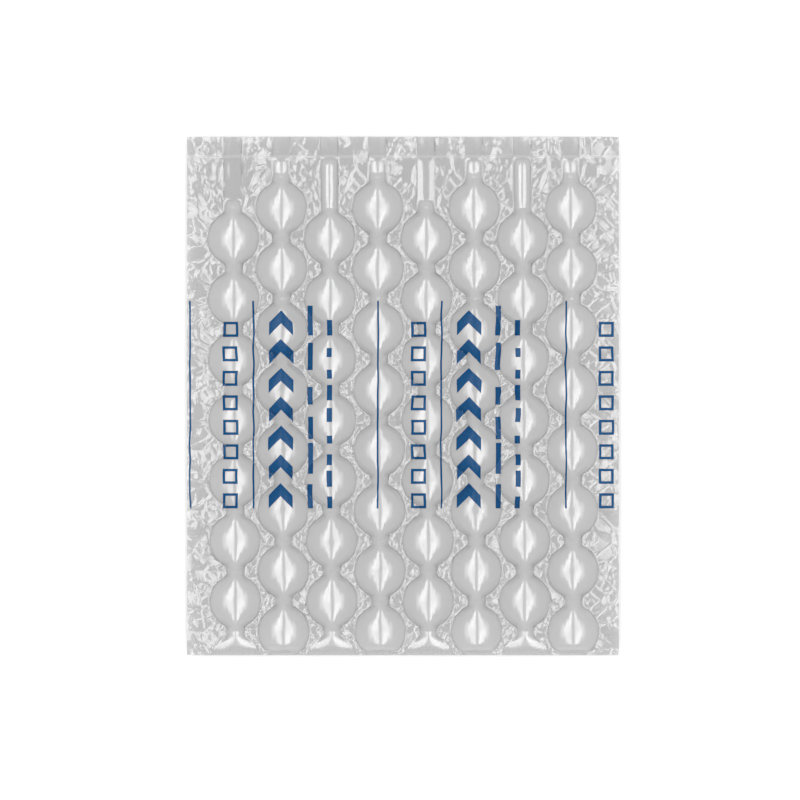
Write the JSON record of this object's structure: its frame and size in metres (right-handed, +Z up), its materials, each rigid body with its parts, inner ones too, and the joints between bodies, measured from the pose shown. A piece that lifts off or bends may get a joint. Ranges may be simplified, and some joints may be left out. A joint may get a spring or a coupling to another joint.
{
  "type": "inflated air cushion film sheet",
  "caption": "Flat sheet of inflated air cushion film: chains of round bubbles joined by narrow necks, fill channels at one edge, crinkled clear margins and a plain blue pattern",
  "frame": {"origin": "on the surface that the sheet lies on, under the middle of the cut sheet", "axes": "+Z up off the resting surface with the printed side up, +Y along the bubble chains towards the fill edge, +X to the right across the sheet"},
  "size_m": [0.3, 0.36, 0.0151],
  "materials": {
    "film": "glossy translucent film, light grey, crinkled at the seals and margins",
    "ink": "blue flexographic ink under the gloss of the film"
  },
  "bodies": {
    "root": {"film": "film", "print": "ink"}
  },
  "joints": []
}
